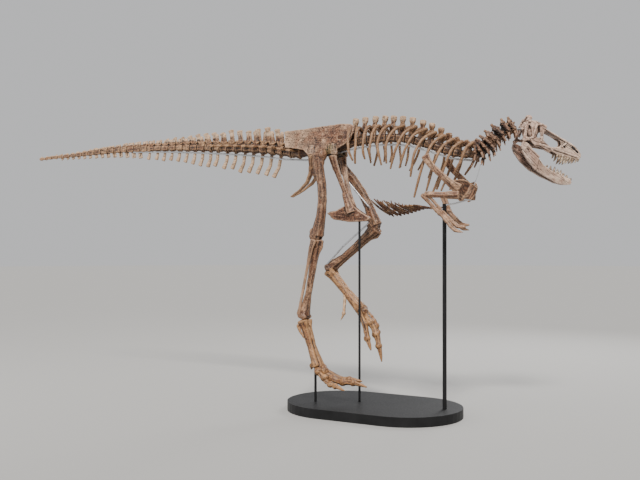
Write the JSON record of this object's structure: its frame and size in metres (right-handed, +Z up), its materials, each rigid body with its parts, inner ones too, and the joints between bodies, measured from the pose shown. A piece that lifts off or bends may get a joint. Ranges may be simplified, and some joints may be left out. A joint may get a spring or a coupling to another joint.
{
  "type": "mounted dinosaur skeleton",
  "caption": "Life-size mounted skeleton of a two-legged meat-eating dinosaur, jaws open, one leg raised, on a flat base with slim poles and rods.",
  "frame": {"origin": "centre of the underside of the base, on the floor", "axes": "+X along the base's long axis towards the animal's head, +Y to the animal's left, +Z up"},
  "size_m": [6.2203, 1.2272, 2.8009],
  "materials": {
    "bone": "mottled tan and brown fossil bone, matt",
    "pale_bone": "pinkish ivory fossil bone, matt",
    "dark_bone": "dark brown fossil bone, matt",
    "cream_bone": "cream fossil bone, matt",
    "black_paint": "satin black",
    "steel": "dull bent rod"
  },
  "bodies": {
    "root": {"stand_base": "black_paint", "stand_front_pole": "black_paint", "stand_rear_pole": "black_paint", "stand_foot_pole": "black_paint", "stand_spine_rod": "steel", "stand_tail_rod": "steel", "tail_1": "bone", "tail_2": "bone", "tail_3": "bone", "tail_4": "bone", "sacrum": "dark_bone", "ilium_right": "bone", "rib_cage_right": "bone", "ilium_left": "bone", "rib_cage_left": "bone", "pubis": "bone", "ischium_right": "bone", "ischium_left": "bone", "neck_rear": "bone", "neck_front": "bone", "skull": "pale_bone", "stand_skull_rod": "steel", "lower_jaw_right": "pale_bone", "lower_jaw_left": "pale_bone", "stand_chest_bar": "steel", "furcula": "cream_bone", "scapula_right": "bone", "humerus_right": "bone", "ulna_right": "bone", "radius_right": "bone", "hand_right": "bone", "scapula_left": "bone", "humerus_left": "bone", "ulna_left": "bone", "radius_left": "bone", "hand_left": "bone", "stand_shoulder_wire": "steel", "gastralia": "cream_bone", "femur_right": "bone", "tibia_right": "bone", "fibula_right": "bone", "metatarsus_right": "bone", "toe_2_right": "bone", "toe_3_right": "bone", "toe_4_right": "bone", "toe_1_right": "bone", "femur_left": "bone", "tibia_left": "bone", "fibula_left": "bone", "metatarsus_left": "bone", "toe_2_left": "bone", "toe_3_left": "bone", "toe_4_left": "bone", "toe_1_left": "bone", "stand_thigh_rod": "steel", "stand_shin_rod": "steel"}
  },
  "joints": []
}
